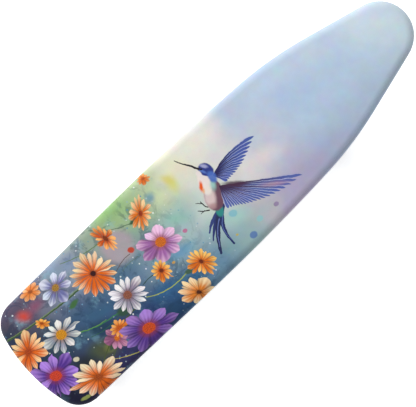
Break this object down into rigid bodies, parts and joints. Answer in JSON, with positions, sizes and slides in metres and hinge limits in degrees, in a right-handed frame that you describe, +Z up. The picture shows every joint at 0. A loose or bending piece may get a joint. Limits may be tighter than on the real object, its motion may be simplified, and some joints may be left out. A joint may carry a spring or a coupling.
{
  "type": "sleeve ironing board",
  "caption": "Narrow padded ironing board with a rounded nose and blunt heel, in an elastic-hemmed printed cover, on a low parallelogram stand that folds flat.",
  "frame": {"origin": "centre of the footprint, on the surface that the feet stand on", "axes": "+X along the board towards its nose, +Y to the left, +Z up"},
  "size_m": [0.51, 0.13, 0.125],
  "materials": {
    "cover_cloth": "printed cotton, plain weave, floral and bird print",
    "binding_tape": "cotton tape, gathered",
    "elastic": "white braided elastic cord",
    "felt": "needled felt, matt",
    "zinc_steel": "zinc plated, satin",
    "coated_rod": "pale grey powder coat, fine texture",
    "spring_steel": "plain spring steel",
    "rivet_steel": "bright zinc",
    "rubber": "black moulded rubber, matt"
  },
  "bodies": {
    "base": {"base_loop": "coated_rod", "base_rail_front": "zinc_steel", "base_rail_mid": "zinc_steel", "base_rail_rear": "zinc_steel", "base_clip_front_left": "zinc_steel", "base_clip_front_right": "zinc_steel", "base_clip_rear_left": "zinc_steel", "base_clip_rear_right": "zinc_steel", "base_rivets": "rivet_steel", "catch_clip_left": "spring_steel", "catch_clip_right": "spring_steel", "catch_rivets": "rivet_steel", "rest_buffer": "rubber", "buffer_rivets": "rivet_steel", "foot_front_left": "rubber", "foot_front_right": "rubber", "foot_rear_left": "rubber", "foot_rear_right": "rubber"},
    "rear_arm": {"rear_arm": "coated_rod"},
    "front_arm": {"front_arm": "coated_rod"},
    "board": {"cover": "cover_cloth", "hem_binding": "binding_tape", "hem_elastic": "elastic", "pad": "felt", "top_panel": "zinc_steel", "rim_band": "zinc_steel", "board_rail_front": "zinc_steel", "board_rail_rear": "zinc_steel", "spine_front": "zinc_steel", "spine_rear": "zinc_steel", "board_clip_front_left": "zinc_steel", "board_clip_front_right": "zinc_steel", "board_clip_rear_left": "zinc_steel", "board_clip_rear_right": "zinc_steel", "board_rivets": "rivet_steel"}
  },
  "joints": [
    {"name": "fold", "type": "hinge", "parent": "base", "child": "rear_arm", "pos_m": [-0.18, 0, 0.017], "axis": [0, -1, 0], "range_deg": [0, 84]},
    {"name": "front_arm_swing", "type": "hinge", "parent": "base", "child": "front_arm", "pos_m": [-0.02, 0, 0.017], "axis": [0, -1, 0], "range_deg": [0, 84]},
    {"name": "board_level", "type": "hinge", "parent": "rear_arm", "child": "board", "pos_m": [-0.17038, 0, 0.1085], "axis": [0, -1, 0], "range_deg": [-84, 0]}
  ],
  "couplings": [
    {"joint": "front_arm_swing", "follows": "fold", "ratio": 1},
    {"joint": "board_level", "follows": "fold", "ratio": -1}
  ]
}
